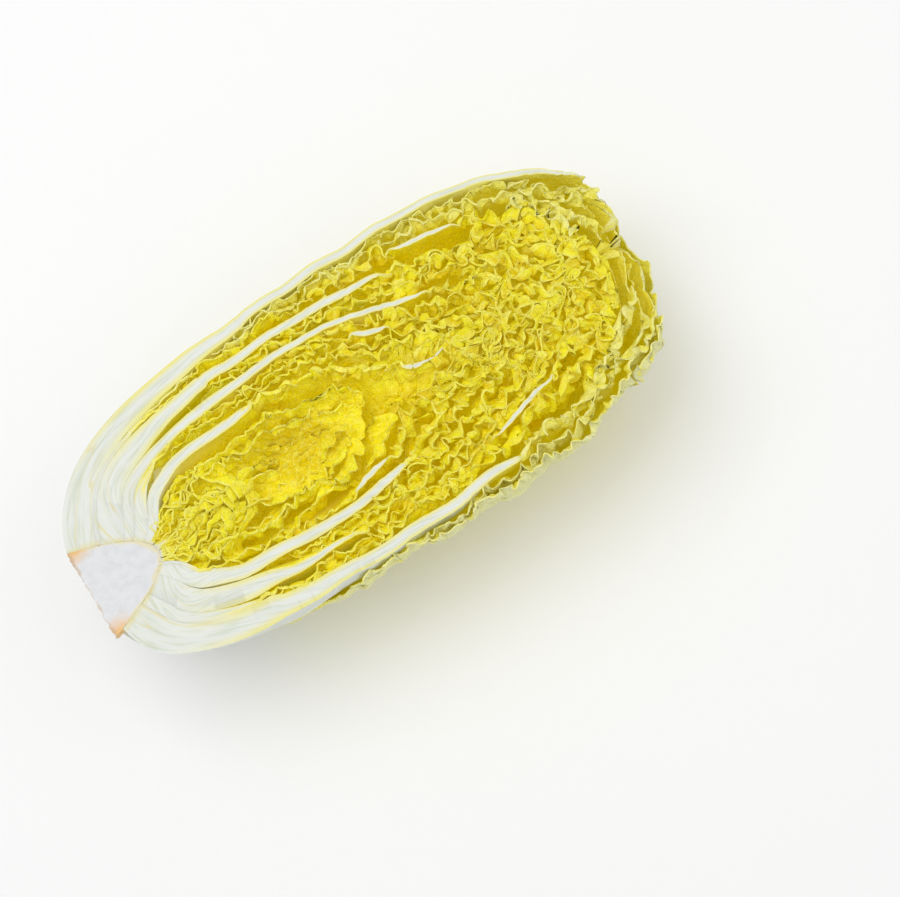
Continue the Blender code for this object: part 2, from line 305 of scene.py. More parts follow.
@dataclass(frozen=True)
class LeafSpot:
    """Where one leaf of the spiral grows, and how far it reaches.

    Attributes:
        number: Its number in the spiral, outermost first.
        order: Its place among the leaves that this half has.
        tips: The s that the outermost leaves end at.
        rib_ends: The numbers of the leaves with known ribs, and the s that each rib's white ends at.
        stubs: Short white pieces: the leaf's number, the edge that it is cut at, and its first and last s.
    """

    number: int
    order: int
    leaves: int = 22
    outer_leaves: int = 5
    first_angle: float = 172.0
    turn: float = 137.508
    stalk_half: float = 44.0
    blade_half: float = 105.0
    over_half: float = 300.0
    rib_tip_half: float = 10.0
    rib_at_core: tuple[float, float] = (0.0068, 0.0044)
    blade_rise: tuple[float, float] = (0.15, 0.48)
    over_rise: tuple[float, float] = (0.74, 0.97)
    tips: tuple[float, ...] = (0.93, 0.955, 0.945, 0.97, 0.96)
    rib_ends: tuple[tuple[int, float], ...] = (
        (0, 0.86), (4, 0.60), (8, 0.64), (12, 0.46), (13, 0.72), (17, 0.54), (21, 0.34),
    )
    stubs: tuple[tuple[int, float, float, float], ...] = (
        (9, 0.0, 0.62, 0.84), (20, 0.0, 0.42, 0.58), (5, 180.0, 0.62, 0.78), (16, 180.0, 0.56, 0.70),
        (21, 180.0, 0.72, 0.92),
    )

    @property
    def name(self) -> str:
        """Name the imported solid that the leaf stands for."""
        return f"leaf_{self.order + 1:02d}"

    @property
    def angle(self) -> float:
        """Give the angle of its rib, past an edge of the cut face where it grew beyond the cut."""
        return (self.first_angle + self.turn * self.number + 90.0) % 360 - 90.0

    @property
    def outer(self) -> bool:
        """Tell if it is one of the outer leaves."""
        return self.number < self.outer_leaves

    @property
    def beyond(self) -> float:
        """Give how many degrees beyond the cut it grew, or less than 0."""
        return max(-self.angle, self.angle - 180.0)

    @property
    def through_cut(self) -> bool:
        """Tell if the leaf grew so far beyond the cut that only its blade comes through it."""
        return self.beyond >= self.stalk_half - 4.0

    @property
    def tip(self) -> float:
        """Give the s that it ends at."""
        return self.tips[self.number] if self.number < len(self.tips) else 1.0

    def half_angle(self, s: Array) -> Array:
        """Give how far the leaf reaches round the head, to each side of its rib."""
        up = mix(self.stalk_half, self.blade_half, smooth(*self.blade_rise, s))
        return mix(up, self.over_half, smooth(*self.over_rise, s))

    def rib_half(self, s: Array) -> Array:
        """Give how far the rib reaches to each side of its middle."""
        return mix(self.rib_tip_half, self.stalk_half, np.maximum(1 - s, 0.0) ** 1.6)

    def white_rib(self, s: Array, phi: Array) -> Array:
        """Give the share of the rib that is still pale and fleshy, which ends before the rib does."""
        end = dict(self.rib_ends).get(self.number, 0.5)
        edge = 0.0 if self.angle < 90 else 180.0
        drift = mix(self.angle, edge, 0.85 * smooth(0.15, 0.50, s)) if end > 0.7 else self.angle
        pale = crest(phi - drift, self.rib_half(s)) * smooth(end + 0.08, end - 0.10, s)
        for number, side, low, high in self.stubs:
            if number == self.number:
                middle = (low + high) / 2
                stub = crest(phi - side, self.rib_tip_half)
                pale = np.maximum(pale, 0.6 * stub * smooth(low, middle, s) * smooth(high, middle, s))
        return pale

    def rib(self, s: Array, phi: Array) -> Array:
        """Give how much thicker than the blade the leaf is."""
        at_core = mix(*self.rib_at_core, self.number / (self.leaves - 1))
        thicker = at_core * np.maximum(1 - s, 0.0) ** 0.6 - BLADE
        return np.maximum(0.0, thicker) * crest(phi - self.angle, self.rib_half(s))

    def presence(self, s: Array, phi: Array) -> Array:
        """Give 1 where the leaf takes up room, falling to 0 beyond its sides."""
        return 1 - smooth(24.0, 56.0, np.abs(phi - self.angle) - self.half_angle(s))

    def covering(self, s: Array, phi: Array) -> Array:
        """Give 1 where the leaf is, falling to 0 just inside its edges."""
        wedge = 20.0 if self.through_cut else 6.0
        return smooth(0.0, wedge, self.half_angle(s) - np.abs(phi - self.angle)) * (s <= self.tip)


@dataclass(frozen=True)
class Layering:
    """Shares out the room at every place among the leaves that are there."""

    form: HeadForm
    leaves: tuple[LeafSpot, ...]
    least_gap: float = 0.0011
    thickest: float = 2.6
    packed_until: float = 0.20
    loose_from: float = 0.42

    def at(self, order: int, s: Array, phi: Array) -> tuple[Array, Array, Array, Array]:
        """Give where one leaf lies.

        Args:
            order: The leaf's place among the leaves.
            s: Shares of the way up the head.
            phi: Angles in degrees.

        Returns:
            The depth of its outer face, its thickness, the gap inside it and the depth of what lies next to it
            on the inside, in metres.
        """
        presence = np.stack([leaf.presence(s, phi) for leaf in self.leaves])
        ribs = np.stack([leaf.rib(s, phi) for leaf in self.leaves])
        room = self.form.room(s, phi) * (1 - self.form.heart_level(s))
        count = presence.sum(axis=0)
        rib_room = room - count * (BLADE + self.least_gap)
        wanted = np.maximum((ribs * presence).sum(axis=0), self.least_gap)
        packed = np.clip(rib_room / wanted, 0.0, self.thickest)
        thicker = mix(packed, np.minimum(1.0, packed), smooth(self.packed_until, self.loose_from, s))
        thickness = BLADE + ribs * thicker
        filled = (thickness * presence).sum(axis=0)
        gap = np.maximum(self.least_gap, (room - filled) / np.maximum(count, 1.0))
        taken = (thickness + gap) * presence
        depths = np.cumsum(taken, axis=0) - taken
        beyond = depths[-1] + taken[-1]
        for inner in range(len(self.leaves) - 1, order, -1):
            beyond = mix(beyond, depths[inner], self.leaves[inner].covering(s, phi))
        return depths[order], thickness[order], gap, beyond


class Slab:
    """A flat slab of quads, one share wide and long, that a leaf's two faces are bent from."""

    sharp = 62.0  # degrees past which an edge stays sharp

    def __init__(self, name: str, rows: int, columns: int, fine: int = 0) -> None:
        """Make the slab.

        Args:
            name: Name of the mesh.
            rows: Rows of points along the leaf, less one. With fine columns, the others have half as many.
            columns: Columns of quads across it.
            fine: How many columns along each side have every row.
        """
        bm = bmesh.new()
        coarse = rows // 2 if fine else rows
        bmesh.ops.create_grid(bm, x_segments=columns, y_segments=coarse, size=0.5)
        if fine:
            margin = 0.5 - fine / columns - 1e-5
            lengthwise = [edge for edge in bm.edges if self._in_margin(edge, margin)]
            bmesh.ops.subdivide_edges(bm, edges=lengthwise, cuts=1, use_single_edge=True)
        made = bmesh.ops.extrude_face_region(bm, geom=bm.faces[:], use_keep_orig=True)
        inner = [part for part in made["geom"] if isinstance(part, bmesh.types.BMVert)]
        bmesh.ops.translate(bm, verts=inner, vec=(0.0, 0.0, -1.0))
        bmesh.ops.recalc_face_normals(bm, faces=bm.faces)
        self.mesh = bpy.data.meshes.new(name)
        bm.to_mesh(self.mesh)
        bm.free()
        flat = self._coordinates()
        self.row = np.rint((flat[:, 1] + 0.5) * rows).astype(int)
        self.column = np.rint((flat[:, 0] + 0.5) * columns).astype(int)
        self.inner = flat[:, 2] < -0.5
        sides = np.empty(len(self.mesh.polygons) * 3)
        self.mesh.polygons.foreach_get("normal", sides)
        self.rim = np.abs(sides.reshape(-1, 3)[:, 2]) < 0.5

    @staticmethod
    def _in_margin(edge: bmesh.types.BMEdge, margin: float) -> bool:
        """Tell if an edge runs lengthwise, and at least as far out as the margin."""
        first, last = (vertex.co.x for vertex in edge.verts)
        return abs(first - last) < 1e-5 and abs(first) > margin

    def _coordinates(self) -> Array:
        """Read the places of the vertices."""
        flat = np.empty(len(self.mesh.vertices) * 3)
        self.mesh.vertices.foreach_get("co", flat)
        return flat.reshape(-1, 3)

    def bend(self, outer: Array, inner: Array) -> None:
        """Put the slab's vertices on two grids of points, and turn its faces outwards.

        Args:
            outer: Points of the outer face, by row and column.
            inner: Points of the inner face.
        """
        places = np.where(self.inner[:, None], inner[self.row, self.column], outer[self.row, self.column])
        self.mesh.vertices.foreach_set("co", places.astype(np.float32).ravel())
        self.mesh.calc_loop_triangles()
        corners = np.empty(len(self.mesh.loop_triangles) * 3, dtype=np.int32)
        self.mesh.loop_triangles.foreach_get("vertices", corners)
        a, b, c = (places[corners.reshape(-1, 3)[:, k]] for k in range(3))
        if (a * np.cross(b, c)).sum() < 0:
            self.mesh.flip_normals()
        self.mesh.update()

    def paint(self, **numbers: Array | tuple[Array, Array]) -> None:
        """Keep numbers for each vertex, for the finish to read.

        Args:
            **numbers: Numbers by row and column, or a pair of them where the inner face has others.
        """
        for name, values in numbers.items():
            outer, inner = values if isinstance(values, tuple) else (values, values)
            layer = self.mesh.attributes.new(name, "FLOAT", "POINT")
            spread = np.where(self.inner, inner[self.row, self.column], outer[self.row, self.column])
            layer.data.foreach_set("value", spread.astype(np.float32))

    def lay_grain(self, across: Array, along: Array, depth: Array) -> None:
        """Keep the distances across, along and into the leaf, for fibres and veins to follow.

        Args:
            across: Metres from the rib, by row and column.
            along: Metres from the foot.
            depth: Metres that the outer face lies in from the outside of the head.
        """
        layer = self.mesh.attributes.new("grain", "FLOAT_VECTOR", "POINT")
        spots = np.stack([across, along, depth], axis=-1)[self.row, self.column]
        spots[:, 2] += np.where(self.inner, 3 * MM, 0.0)
        layer.data.foreach_set("vector", spots.astype(np.float32).ravel())

    def finish(self, material: Material) -> Object:
        """Close the poles, smooth the faces and make the object, at the origin."""
        rim = self.mesh.attributes.new("rim", "FLOAT", "FACE")
        rim.data.foreach_set("value", self.rim.astype(np.float32))
        bm = bmesh.new()
        bm.from_mesh(self.mesh)
        bmesh.ops.remove_doubles(bm, verts=bm.verts, dist=1e-6)
        bmesh.ops.dissolve_degenerate(bm, edges=bm.edges, dist=1e-7)
        bmesh.ops.triangulate(bm, faces=[face for face in bm.faces if len(face.verts) > 4])
        bm.to_mesh(self.mesh)
        bm.free()
        self.mesh.shade_smooth()
        self.mesh.set_sharp_from_angle(angle=math.radians(self.sharp))
        self.mesh.materials.append(material)
        return linked(self.mesh.name, self.mesh)


class Graph:
    """A short way to wire a material's nodes."""

    def __init__(self, name: str) -> None:
        """Start a material with a shader.

        Args:
            name: Name of the material.
        """
        self.material = bpy.data.materials.new(name)
        self.material.use_nodes = True
        self.tree = self.material.node_tree
        self.shader = self.tree.nodes["Principled BSDF"]

    def node(self, kind: str, inputs: dict | None = None, **settings: object) -> bpy.types.Node:
        """Add a node.

        Args:
            kind: Its type, without the ShaderNode before it.
            inputs: Values or sockets for its inputs.
            **settings: The node's own settings.

        Returns:
            The node.
        """
        made = self.tree.nodes.new("ShaderNode" + kind)
        for key, value in settings.items():
            setattr(made, key, value)
        for key, value in (inputs or {}).items():
            self.feed(made.inputs[key], value)
        return made

    def feed(self, socket: Socket, value: object) -> None:
        """Link a socket to an input, or set the input's value."""
        if isinstance(value, Socket):
            self.tree.links.new(value, socket)
        else:
            socket.default_value = value

    def attribute(self, name: str, output: str = "Fac") -> Socket:
        """Read one of the leaf's own attributes."""
        return self.node("Attribute", attribute_name=name).outputs[output]

    def position(self) -> Socket:
        """Read the place on the object."""
        return self.node("TexCoord").outputs["Object"]

    def scaled(self, vector: Socket, scale: Point) -> Socket:
        """Stretch a place by a factor along each axis."""
        return self.node("Mapping", {"Vector": vector, "Scale": scale}).outputs["Vector"]

    def noise(self, vector: Socket, scale: float, detail: float = 3.0) -> Socket:
        """Give smooth random shares."""
        inputs = {"Vector": vector, "Scale": scale, "Detail": detail, "Roughness": 0.55}
        return self.node("TexNoise", inputs).outputs["Fac"]

    def ramp(self, value: object, low: float, high: float, first: float = 0.0, last: float = 1.0) -> Socket:
        """Go smoothly from first to last as the value goes from low to high."""
        inputs = {"Value": value, "From Min": low, "From Max": high, "To Min": first, "To Max": last}
        return self.node("MapRange", inputs, interpolation_type="SMOOTHSTEP").outputs["Result"]

    def math(self, operation: str, first: object, second: object = 0.0) -> Socket:
        """Work out one number from two."""
        return self.node("Math", {0: first, 1: second}, operation=operation).outputs["Value"]

    def times(self, first: object, second: object) -> Socket:
        """Multiply two numbers."""
        return self.math("MULTIPLY", first, second)

    def plus(self, first: object, second: object) -> Socket:
        """Add two numbers."""
        return self.math("ADD", first, second)

    def minus(self, first: object, second: object) -> Socket:
        """Take the second number from the first."""
        return self.math("SUBTRACT", first, second)

    def larger(self, first: object, second: object) -> Socket:
        """Give the larger of two numbers."""
        return self.math("MAXIMUM", first, second)

    def off_half(self, value: object) -> Socket:
        """Give how far a number is from a half."""
        return self.math("ABSOLUTE", self.minus(value, 0.5))

    def colour(self, share: object, first: object, last: object) -> Socket:
        """Mix two colours."""
        inputs = {"Factor": share, "A": first, "B": last}
        return self.node("Mix", inputs, data_type="RGBA", clamp_factor=True).outputs["Result"]

    def bump(self, height: Socket, strength: float, distance: float, under: Socket | None = None) -> Socket:
        """Raise a relief, on top of another one if there is one."""
        inputs = {"Height": height, "Strength": strength, "Distance": distance}
        return self.node("Bump", inputs | ({"Normal": under} if under else {})).outputs["Normal"]

    def finished(self, inputs: dict[str, object]) -> Material:
        """Feed the shader's inputs and give the material."""
        for name, value in inputs.items():
            self.feed(self.shader.inputs[name], value)
        return self.material


def rgb(red: float, green: float, blue: float) -> Colour:
    """Turn a colour as seen on a screen, 0 to 255, into the light it reflects."""
    parts = [c / 255 for c in (red, green, blue)]
    return tuple(c / 12.92 if c <= 0.04045 else ((c + 0.055) / 1.055) ** 2.4 for c in parts) + (1.0,)


@dataclass(frozen=True)
class LeafFinish:
    """The skin of a leaf: a pale fibrous rib, a veined yellow blade and a pale cut edge.

    Attributes:
        slot: The record's slot that it stands for.
        deep: Colour of the blade's hollows, darker as painted shade.
        light: Colour of the blade's puckers, lighter as painted light.
        margin: Colour of the blade's cut and free edges.
        husk: Colour of the blade on the outside of the head.
        rib: Colour of the rib.
        rib_shade: Colour of the rib's fibres.
        rib_side: Colour of the rib's cut face near its two sides.
        foot: Colour of the leaf's foot and of the lines between stalks.
        glow: Painted glow, given off deep in the head and between the leaves, in place of light that comes through
            them.
    """

    slot: Slot
    deep: Colour
    light: Colour
    margin: Colour
    husk: Colour = rgb(238, 240, 196)
    rib: Colour = rgb(229, 232, 226)
    rib_shade: Colour = rgb(210, 216, 198)
    rib_side: Colour = rgb(238, 230, 120)
    foot: Colour = rgb(226, 216, 158)
    glow: Colour = (0.102, 0.086, 0.0, 1.0)

    def build(self) -> Material:
        """Wire the material."""
        graph = Graph(self.slot.value + "_skin")
        read, noise, times, ramp, colour = graph.attribute, graph.noise, graph.times, graph.ramp, graph.colour
        place, grain, rim = graph.position(), read("grain", "Vector"), read("rim")

        def grained(across: float, along: float, deep: float, detail: float = 2.0) -> Socket:
            """Give noise that follows the leaf's grain."""
            return noise(graph.scaled(grain, (across, along, deep)), 1.0, detail)

        fibres = grained(2400.0, 45.0, 2400.0)
        fleshy = graph.plus(read("rib"), ramp(grained(900.0, 30.0, 1300.0), 0.25, 0.75, -0.12, 0.12))
        on_cut = times(rim, ramp(fleshy, 0.08, 0.34))
        rib = graph.larger(graph.larger(ramp(fleshy, 0.55, 0.97), on_cut), read("stalk"))
        # Painted shade and light: the blade is darker where it dips below its layer and lighter where it rises.
        puckers = graph.plus(read("pucker"), noise(place, 85.0))
        blade = colour(ramp(puckers, 0.35, 1.25), self.deep, self.light)
        blade = colour(times(read("outside"), 0.7), blade, self.husk)
        cells = {"Vector": graph.scaled(grain, (230.0, 150.0, 1.0)), "Scale": 1.0, "Randomness": 0.9}
        veins = graph.node("TexVoronoi", cells, feature="DISTANCE_TO_EDGE").outputs["Distance"]
        vein_line = ramp(veins, 0.02, 0.10, 1.0, 0.0)
        blade = colour(times(vein_line, 0.45), blade, self.margin)
        stalk = colour(ramp(fibres, 0.42, 0.75), self.rib, self.rib_shade)
        stalk = colour(ramp(grained(350.0, 12.0, 420.0), 0.45, 0.8, 0.0, 0.5), stalk, self.rib_shade)
        beside = times(ramp(graph.off_half(read("facing")), 0.12, 0.46, 0.0, 0.85), rim)
        stalk = colour(times(beside, ramp(read("along"), 0.06, 0.26)), stalk, self.rib_side)
        lined = times(read("facing"), graph.minus(1.0, rim))
        stalk = colour(times(lined, ramp(read("along"), 0.08, 0.25, 0.0, 0.85)), stalk, blade)
        skin = colour(rib, blade, stalk)
        pale = graph.larger(rim, ramp(read("edge"), 0.35, 0.9))
        broken = ramp(noise(place, 210.0, 2.0), 0.36, 0.62, 0.25, 1.0)
        skin = colour(times(pale, times(ramp(rib, 0.05, 0.6, 1.0, 0.0), broken)), skin, self.margin)
        at_foot = ramp(read("along"), 0.0, 0.012, 1.0, 0.0)
        skin = colour(times(at_foot, ramp(noise(place, 160.0), 0.3, 0.65, 0.25, 0.9)), skin, self.foot)
        lines = ramp(graph.off_half(grained(60.0, 9.0, 520.0, 1.0)), 0.002, 0.018, 0.6, 0.0)
        skin = colour(times(lines, times(read("stalk"), rim)), skin, self.foot)
        # Painted glow: strongest deep in the head and between the leaves, half as strong on the ribs.
        painted_glow_mask = times(read("within"), ramp(rib, 0.0, 0.8, 1.0, 0.5))
        relief = graph.plus(times(fibres, ramp(rib, 0.1, 0.9, 0.0, 0.5)),
                            times(vein_line, ramp(rib, 0.1, 0.6, -0.8, 0.0)))
        relief = graph.plus(relief, times(noise(place, 900.0), 0.3))
        ridges = ramp(graph.off_half(noise(place, 330.0)), 0.0, 0.16)
        crinkles = times(ridges, ramp(rib, 0.05, 0.5, 1.0, 0.0))
        graph.material.cycles.emission_sampling = "NONE"
        return graph.finished({
            "Base Color": skin,
            "Emission Color": colour(painted_glow_mask, OPAQUE_BLACK, self.glow),
            "Emission Strength": 1.0,
            "Roughness": ramp(noise(place, 300.0), 0.3, 0.7, 0.34, 0.52),
            "Normal": graph.bump(crinkles, 0.6, 0.0008, graph.bump(relief, 0.35, 0.0005)),
            "Specular IOR Level": 0.35,
            "Subsurface Weight": 0.25,
            "Subsurface Radius": (1.0, 0.85, 0.5),
            "Subsurface Scale": 0.0015,
        })


@dataclass(frozen=True)
class CoreFinish:
    """The cut flesh of the core: cool white, a yellow band round it, and a dried orange-brown butt."""

    form: HeadForm
    flesh: Colour = rgb(226, 227, 229)
    flesh_shade: Colour = rgb(219, 220, 222)
    band: Colour = rgb(234, 222, 170)
    rust: Colour = rgb(240, 184, 98)
    dried: Colour = rgb(204, 174, 138)

    def build(self) -> Material:
        """Wire the material."""
        graph, form = Graph("core_flesh"), self.form
        noise, times, ramp, colour = graph.noise, graph.times, graph.ramp, graph.colour
        place = graph.position()
        parts = graph.node("SeparateXYZ", {"Vector": place}).outputs
        x, y, z = (graph.minus(parts[axis], middle) for axis, middle in zip("XYZ", form.origin))
        y = graph.math("ABSOLUTE", y)
        out = graph.math("SQRT", graph.plus(times(y, y), times(z, z)))
        share = graph.math("DIVIDE", out, form.butt_radius)
        inside = graph.minus(times(graph.minus(1.0, times(share, share)), form.core_height), x)
        wander = ramp(noise(place, 140.0, 4.0), 0.25, 0.75, -0.0016, 0.0016)
        flesh = colour(ramp(noise(place, 260.0, 4.0), 0.4, 0.7), self.flesh, self.flesh_shade)
        flesh = colour(ramp(graph.plus(inside, wander), 0.0, 0.0034, 0.75, 0.0), flesh, self.band)
        corner = times(ramp(graph.plus(out, wander), 0.0135, 0.0215), ramp(x, 0.004, 0.015, 1.0, 0.0))
        flesh = colour(times(corner, 0.85), flesh, self.rust)
        dry = ramp(graph.plus(x, wander), 0.0012, 0.0028, 1.0, 0.0)
        flesh = colour(times(dry, ramp(noise(place, 210.0), 0.3, 0.7, 0.55, 0.9)), flesh, self.dried)
        specks = graph.node("TexVoronoi", {"Vector": place, "Scale": 520.0}).outputs["Distance"]
        speck = times(ramp(specks, 0.10, 0.20, 1.0, 0.0), ramp(inside, 0.0008, 0.0022, 0.8, 0.0))
        rough = noise(graph.scaled(place, (0.25, 1.0, 1.0)), 1100.0, 4.0)
        return graph.finished({
            "Base Color": colour(speck, flesh, self.dried),
            "Roughness": ramp(noise(place, 320.0), 0.3, 0.7, 0.36, 0.6),
            "Normal": graph.bump(rough, 0.3, 0.0004),
            "Subsurface Weight": 0.2,
            "Subsurface Radius": (1.0, 0.9, 0.8),
            "Subsurface Scale": 0.002,
        })


@dataclass(frozen=True)
class Crinkle:
    """How far a leaf is pulled out of its smooth layer, in metres.

    Attributes:
        sway: Slow waves that all leaves share.
        ripple: Shorter waves that all leaves share.
        pucker: The leaf's own short waves.
        curl: How far the leaf's own waves lean over.
    """

    sway: float = 1.1 * MM
    ripple: float = 0.75 * MM
    pucker: float = 0.85 * MM
    curl: float = 0.7 * MM
    sway_field: Ripple = Ripple(Field.SWAY, 24 * MM)
    ripple_field: Ripple = Ripple(Field.RIPPLE, 9 * MM)

    def shared(self, points: Array, slow: Array, quick: Array) -> Array:
        """Give the shift that every leaf at these points gets.

        Args:
            points: Points of its smooth layer.
            slow: Shares of the slow waves to give each point.
            quick: Shares of the shorter waves.

        Returns:
            The shifts.
        """
        swayed = self.sway_field.vectors(points) * (self.sway * slow)[..., None]
        return swayed + self.ripple_field.vectors(points) * (self.ripple * quick)[..., None]

    def own(self, points: Array, normals: Array, seed: int, fine: Array) -> tuple[Array, Array]:
        """Give the leaf's own shift.

        Args:
            points: Points of its smooth layer.
            normals: Their outward normals.
            seed: The leaf's own number.
            fine: 1 where the points lie close enough together for short waves.

        Returns:
            The shifts, and how high above or below its layer each point is, of about unit size.
        """
        height = Ripple(Field.HEIGHT + seed, 5.4 * MM, 18).values(points) * fine
        height = height + 0.6 * Ripple(Field.BROAD + seed, 14 * MM).values(points) * (1 - fine)
        finer = Ripple(Field.FINER + seed, 2.7 * MM, 16).values(points) * fine
        lean = Ripple(Field.LEAN + seed, 4.6 * MM).vectors(points) * fine[..., None]
        lean = lean - normals * (lean * normals).sum(axis=-1, keepdims=True)
        shift = normals * (self.pucker * (height + 0.36 * finer))[..., None] + self.curl * lean
        return shift, height


@dataclass
class LeafSheet:
    """One leaf of the layers, as a fine crinkled sheet.

    Attributes:
        spot: Where it grows.
        layering: How the room is shared.
        crinkle: How its blade is crinkled.
        slit_starts: The s where the slit inside each leaf opens, by order.
        steps_down: How far below the cut a leaf's edge may lie, so that no two edges are at one height.
    """

    spot: LeafSpot
    layering: Layering
    crinkle: Crinkle
    stalk_rows: int = 24
    blade_rows: int = 424
    blade_from: float = 0.13
    edge_columns: int = 7
    edge_width: float = 9 * MM
    middle_columns: int = 6
    slit: float = 0.05 * MM
    slit_starts: tuple[float, ...] = (
        0.30, 0.24, 0.24, 0.20, 0.27, 0.18, 0.14, 0.17, 0.16, 0.12, 0.12, 0.20, 0.15, 0.10, 0.10, 0.10, 0.15,
    )
    late_start: float = 0.46
    thinnings: int = 5
    turnings: int = 12
    steps_down: float = 0.25 * MM

    def rows(self) -> Array:
        """Give the s of the leaf's rows, from the core or from where it comes through the cut."""
        if not self.spot.through_cut:
            stalk = np.linspace(FIRST_S, self.blade_from, self.stalk_rows, endpoint=False)
            blade = np.linspace(self.blade_from, 1.0, self.blade_rows + 1)
            return np.concatenate([stalk, blade]) * self.spot.tip
        every = np.linspace(0, 1, 400)
        start = float(np.interp(self.spot.beyond + 0.4, self.spot.half_angle(every), every))
        start = max(start, self.late_start if self.spot.order == 1 else 0.0)
        count = 2 * int(self.blade_rows / 2 * (1 - start) / (1 - self.blade_from))
        return np.linspace(start, 1.0, count + 1) * self.spot.tip

    def reach(self, s: Array) -> tuple[Array, Array]:
        """Give the lowest and highest phi of the leaf in each row."""
        half = self.spot.half_angle(s)
        wavy = 3.5 * Ripple(Field.SIDES + self.spot.number, 0.06).values(np.stack([s, s * 0, s * 0], axis=-1))
        wavy = wavy * smooth(0.0, 0.08, s - s[0])
        low, high = self.spot.angle - half, self.spot.angle + half
        low = np.clip(low + wavy * smooth(0.0, 8.0, np.abs(low)), 0.0, 179.7)
        high = np.clip(high + wavy * smooth(0.0, 8.0, np.abs(high - 180.0)), 0.3, 180.0)
        if self.spot.through_cut:
            widening = smooth(-0.03, 0.14, s - s[0])
            low = mix(high, low, widening) if self.spot.angle > 90 else low
            high = high if self.spot.angle > 90 else mix(low, high, widening)
        return low, np.maximum(high, low + 0.3)

    def columns(self, arc: Array) -> Array:
        """Share out the columns of each row, close together near both edges.

        Args:
            arc: The length of each row in metres.

        Returns:
            Shares of the row's length, by row and column.
        """
        near = np.minimum(self.edge_width, 0.3 * arc) / np.maximum(arc, 1e-6)
        first = np.linspace(0, 1, self.edge_columns, endpoint=False)
        middle = np.linspace(0, 1, self.middle_columns, endpoint=False)
        edge = near[:, None] * first[None, :] ** 1.25
        inner = near[:, None] + (1 - 2 * near[:, None]) * middle[None, :]
        other = 1 - near[:, None] * np.append(first, 1.0)[None, ::-1] ** 1.25
        return np.concatenate([edge, inner, other], axis=1)

    @property
    def stalk_end(self) -> float:
        """Give the s where the white stalk ends and the blade starts to show."""
        return mix(0.17, 0.045, min(1.0, self.spot.order / 17))

    @property
    def slit_start(self) -> float:
        """Give the s where a slit opens between this leaf's stalk and the next one."""
        return dict(enumerate(self.slit_starts)).get(self.spot.order, 0.08)

    def grid(self) -> tuple[Array, Array]:
        """Give s and phi of the leaf's points, by row and column."""
        along = self.rows()
        low, high = self.reach(along)
        form = self.layering.form
        middle = (low + high) / 2
        depth = self.layering.at(self.spot.order, along, middle)[0]
        _, radius = form.outside(along, middle)
        level = 1 - depth / form.room(along, middle)
        arc = np.radians(high - low) * radius * level
        across = self.columns(arc)
        phi = low[:, None] + (high - low)[:, None] * across
        s = np.repeat(along[:, None], across.shape[1], axis=1)
        if self.spot.tip < 1:
            edge = np.minimum(across, 1 - across)
            ends = form.place(np.full_like(phi[-1], 0.9), phi[-1], np.ones_like(phi[-1]))
            wavy = Ripple(Field.FRINGE + self.spot.number, 9 * MM).values(ends)
            back = 0.020 * (1 - smooth(0.0, 0.16, edge)) + 0.006 * (1 + wavy) + 0.05 * smooth(90.0, 20.0, phi)
            s = s * (1 - back * smooth(0.70, 1.0, along / self.spot.tip)[:, None])
        return s, phi

    @staticmethod
    def quads(points: Array) -> Array:
        """Give the unit normals of the quads of a grid of points."""
        return unit(np.cross(points[:-1, 1:] - points[1:, :-1], points[1:, 1:] - points[:-1, :-1]))

    def at_pole(self, normals: Array) -> Array:
        """Make the normals the same along the last row, where that row is a pole."""
        if self.spot.tip == 1:
            last = normals[-4].mean(axis=0)
            normals[-1] = last / max(float(np.linalg.norm(last)), 1e-9)
        return normals

    def facing_all(self, points: Array) -> Array:
        """Give normals that point out of all four quads round each point, however sharply it is bent."""
        padded = np.pad(self.quads(points), ((1, 1), (1, 1), (0, 0)), mode="edge")
        rows, columns = points.shape[:2]
        around = [padded[row:row + rows, column:column + columns] for row in (0, 1) for column in (0, 1)]
        normal = sum(around)
        for _ in range(self.turnings):
            normal = unit(normal, 1e-9)
            hidden = [np.maximum(0.4 - (quad * normal).sum(axis=-1, keepdims=True), 0.0) for quad in around]
            normal = normal + sum(quad * share for quad, share in zip(around, hidden))
        return self.at_pole(unit(normal, 1e-9))

    def thinned(self, middle: Array, offset: Array) -> Array:
        """Thin the leaf in its tightest bends, so that neither face folds over itself.

        Args:
            middle: Points halfway through the leaf.
            offset: How far its two faces lie from them.

        Returns:
            The offsets, smaller near the bends.
        """
        flat = self.quads(middle)
        for _ in range(self.thinnings):
            turns = [(self.quads(middle + way * offset) * flat).sum(axis=-1) for way in (1, -1)]
            tight = np.pad(np.minimum(*turns) < 0.2, 1)
            tight = tight[1:, 1:] | tight[:-1, 1:] | tight[1:, :-1] | tight[:-1, :-1]
            if self.spot.tip == 1:
                tight[-1] = tight[-1].any()
            offset = np.where(tight[..., None], 0.6 * offset, offset)
        return offset

